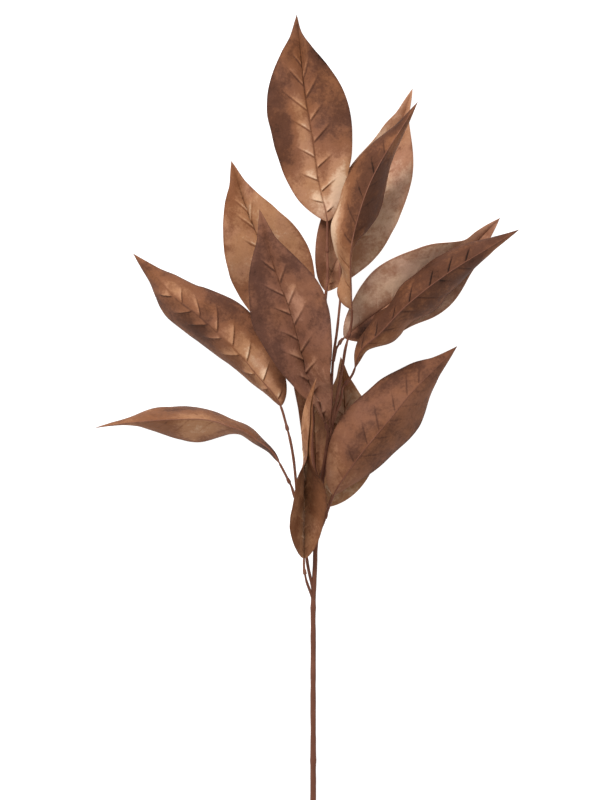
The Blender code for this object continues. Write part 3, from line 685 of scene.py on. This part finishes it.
def add_twig(mesh, twig, sides, seed):
    """A lumpy, tapered tube that thins to a plain spur where it enters the collar of a leaf."""
    path = path_through(twig_route(twig))
    length = path.knots[-1]
    taper_end = length - (SPUR_APPROACH + SPUR_LENGTH if twig.carries else 0)
    rings = []
    tones = []
    for place in np.linspace(0, length, int(length / TUBE_STEP) + 2):
        here, _, side, up = frame_on(path, place)
        share = min(place / taper_end, 1)
        radius = twig.start_radius + (twig.end_radius - twig.start_radius) * share
        if twig.carries:
            radius += (TWIG_TIP_RADIUS - radius) * ease((place - taper_end + SPUR_APPROACH) / SPUR_APPROACH)
        if twig is MAIN_STEM:
            for y, height, half_width in WRAP_ENDS:
                radius += height * bump_at(here[1] - y, half_width)
        else:
            radius += FORK_SWELLING * bump_at(place, FORK_LENGTH)
        points = ring(here, side, up, radius, sides)
        if place < taper_end:
            lumps = noise_at(points, STEM_LUMPS_PER_MM, seed)[:, None]
            points = here + (points - here) * (1 + STEM_LUMP_HEIGHT * lumps)
            points[:, 2] = np.maximum(points[:, 2], 0)
        rings.append(points)
        # Painted light: paler towards the top, where the leaves shade the stem and twigs.
        tones += [STEM_TONE + TWIG_PAINTED_LIGHT * ease((here[1] - PAINTED_LIGHT_FROM) / PAINTED_LIGHT_OVER)] * sides
    mesh.add_tube(rings, tones, STEM_SLOT)


class Look:
    """A node material under construction, with short calls for the nodes that it needs."""

    def __init__(self, name):
        self.material = bpy.data.materials.new(name)
        self.material.use_nodes = True
        self.nodes = self.material.node_tree.nodes
        self.link = self.material.node_tree.links.new
        self.shader = self.nodes["Principled BSDF"]
        self.place = self.nodes.new("ShaderNodeTexCoord").outputs["Object"]

    def noise(self, mottle, seed):
        mapping = self.nodes.new("ShaderNodeMapping")
        start = [(seed + mottle.seed_step) * step for step in MOTTLE_START_PER_SEED]
        mapping.inputs["Location"].default_value = start
        mapping.inputs["Scale"].default_value = mottle.stretch
        self.link(self.place, mapping.inputs["Vector"])
        node = self.nodes.new("ShaderNodeTexNoise")
        node.inputs["Scale"].default_value = mottle.scale
        node.inputs["Detail"].default_value = mottle.detail
        node.inputs["Roughness"].default_value = mottle.roughness
        node.inputs["Distortion"].default_value = mottle.distortion
        self.link(mapping.outputs["Vector"], node.inputs["Vector"])
        return node.outputs["Fac"]

    def sum(self, constant, *terms):
        """A constant and outputs, each multiplied by its factor, added up."""
        total = None
        for output, factor in terms:
            node = self.nodes.new("ShaderNodeMath")
            node.operation = "MULTIPLY_ADD"
            self.link(output, node.inputs[0])
            node.inputs[1].default_value = factor
            if total is None:
                node.inputs[2].default_value = constant
            else:
                self.link(total, node.inputs[2])
            total = node.outputs[0]
        return total

    def attribute(self, name):
        node = self.nodes.new("ShaderNodeAttribute")
        node.attribute_name = name
        return node.outputs["Fac"]

    def mix(self, share, first, second):
        node = self.nodes.new("ShaderNodeMix")
        node.data_type = "RGBA"
        self.link(share, node.inputs["Factor"])
        self.link(first, node.inputs["A"])
        self.link(second, node.inputs["B"])
        return node.outputs["Result"]

    def ramp(self, stops, share):
        node = self.nodes.new("ShaderNodeValToRGB")
        node.color_ramp.interpolation = "EASE"
        while len(node.color_ramp.elements) < len(stops):
            node.color_ramp.elements.new(0.5)
        for element, (place, colour) in zip(node.color_ramp.elements, stops):
            element.position = place
            element.color = (*colour, 1)
        self.link(share, node.inputs["Fac"])
        return node.outputs["Color"]

    def bump(self, height, height_mm, strength=1.0, under=None):
        node = self.nodes.new("ShaderNodeBump")
        node.inputs["Strength"].default_value = strength
        node.inputs["Distance"].default_value = height_mm * MM
        self.link(height, node.inputs["Height"])
        if under is not None:
            self.link(under, node.inputs["Normal"])
        return node.outputs["Normal"]


def leaf_look(name, seed, coolness):
    """A satin dye, mottled at four scales round the leaf's own tone, with the veins' painted highlights and
    shade, and washed from copper to taupe.
    """
    look = Look(name)
    mottles = (CLOUDS, SMUDGES, SPECKS, GRAIN)
    marks = [look.noise(mottle, seed) for mottle in mottles]
    amounts = [mottle.amount for mottle in mottles]
    # The vein attribute carries the veins' painted highlights and shade into the tone.
    tone = look.sum(-sum(amounts) / 2, (look.attribute("tone"), 1.0), (look.attribute("vein"), VEIN_SHADING_TONE),
                    *zip(marks, amounts))
    cool = look.sum(coolness - WASHES.amount / 2, (look.noise(WASHES, seed), WASHES.amount))
    copper = look.ramp(COPPER_DYE, tone)
    taupe = look.ramp(TAUPE_DYE, tone)
    _, smudges, specks, _ = marks
    coarse = look.bump(smudges, SMUDGE_HEIGHT)
    fine = look.bump(specks, SPECK_HEIGHT, SPECK_STRENGTH, coarse)
    look.link(look.mix(cool, copper, taupe), look.shader.inputs["Base Color"])
    look.link(look.sum(LEAF_ROUGHNESS, (smudges, SMUDGE_ROUGHNESS)), look.shader.inputs["Roughness"])
    look.link(fine, look.shader.inputs["Normal"])
    look.shader.inputs["Specular IOR Level"].default_value = LEAF_GLOSS
    return look.material


def stem_look(name, stops, seed):
    """Matt bark with fine streaks along the stem and wider patches."""
    look = Look(name)
    streaks = look.noise(BARK_STREAKS, seed)
    patches = look.noise(BARK_PATCHES, seed)
    tone = look.sum(-BARK_DARKER, (look.attribute("tone"), 1.0), (streaks, BARK_STREAKS.amount),
                    (patches, BARK_PATCHES.amount))
    look.link(look.ramp(stops, tone), look.shader.inputs["Base Color"])
    look.link(look.bump(streaks, STREAK_HEIGHT), look.shader.inputs["Normal"])
    look.shader.inputs["Roughness"].default_value = BARK_ROUGHNESS
    look.shader.inputs["Specular IOR Level"].default_value = BARK_GLOSS
    return look.material


def add_leaf(leaf, seed, rib_look):
    blade = Blade(leaf, seed)
    mesh = Mesh()
    add_blade(mesh, blade)
    add_rib(mesh, blade)
    add_collar(mesh, blade)
    thing = mesh.make(leaf.name + "_dressed", [leaf_look(leaf.name + "_dye_and_painted_light", seed, leaf.coolness), rib_look])
    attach(thing, "root")
    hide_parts(leaf.name)


def add_stem(look):
    mesh = Mesh()
    add_twig(mesh, MAIN_STEM, STEM_SIDES, STEM_SEED)
    for seed, twig in enumerate(TWIGS, FIRST_TWIG_SEED):
        add_twig(mesh, twig, TWIG_SIDES, seed)
    thing = mesh.make("stem_dressed", [look])
    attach(thing, "root")
    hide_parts("stem")


def add_floor():
    data = bpy.data.meshes.new("floor")
    corners = [(x * FLOOR_REACH, y * FLOOR_REACH, 0) for x, y in ((-1, -1), (1, -1), (1, 1), (-1, 1))]
    data.from_pydata(corners, [], [(0, 1, 2, 3)])
    look = bpy.data.materials.new("pale_floor")
    look.use_nodes = True
    shader = look.node_tree.nodes["Principled BSDF"]
    shader.inputs["Base Color"].default_value = (FLOOR_GREY, FLOOR_GREY, FLOOR_GREY, 1)
    shader.inputs["Roughness"].default_value = FLOOR_ROUGHNESS
    shader.inputs["Specular IOR Level"].default_value = FLOOR_GLOSS
    shader.inputs["Emission Color"].default_value = (1, 1, 1, 1)
    shader.inputs["Emission Strength"].default_value = FLOOR_GLOW
    data.materials.append(look)
    floor = bpy.data.objects.new("floor", data)
    bpy.context.scene.collection.objects.link(floor)


def add_key_light():
    data = bpy.data.lights.new("key", "AREA")
    data.shape = "DISK"
    data.size = KEY_WIDTH
    data.energy = KEY_POWER
    light = bpy.data.objects.new("key", data)
    light.location = KEY_PLACE
    light.rotation_euler = (Vector(KEY_TARGET) - Vector(KEY_PLACE)).to_track_quat("-Z", "Y").to_euler()
    bpy.context.scene.collection.objects.link(light)


def add_sky():
    world = bpy.data.worlds.new("studio")
    world.use_nodes = True
    sky = world.node_tree.nodes["Background"]
    sky.inputs["Color"].default_value = (1, 1, 1, 1)
    sky.inputs["Strength"].default_value = SKY_STRENGTH
    bpy.context.scene.world = world
    bpy.context.scene.view_settings.view_transform = "Standard"


def add_camera():
    """A camera high above the branch, which takes in the photo's height."""
    data = bpy.data.cameras.new("camera")
    data.sensor_fit = "VERTICAL"
    data.sensor_height = SENSOR_HEIGHT
    data.lens = SENSOR_HEIGHT * CAMERA_HEIGHT / (PHOTO_HEIGHT_PX * MM_PER_PX * MM)
    data.clip_end = VIEW_END
    camera = bpy.data.objects.new("camera", data)
    camera.location = (PHOTO_MIDDLE[0] * MM, PHOTO_MIDDLE[1] * MM, CAMERA_HEIGHT)
    bpy.context.scene.collection.objects.link(camera)
    bpy.context.scene.camera = camera


def main():
    rib_look = stem_look("leaf_stalk", STALK_DYE, STALK_LOOK_SEED)
    for seed, leaf in enumerate(LEAVES, 1):
        add_leaf(leaf, seed, rib_look)
    add_stem(stem_look("stem_bark", BARK_DYE, BARK_LOOK_SEED))
    add_floor()
    add_sky()
    add_key_light()
    add_camera()


main()
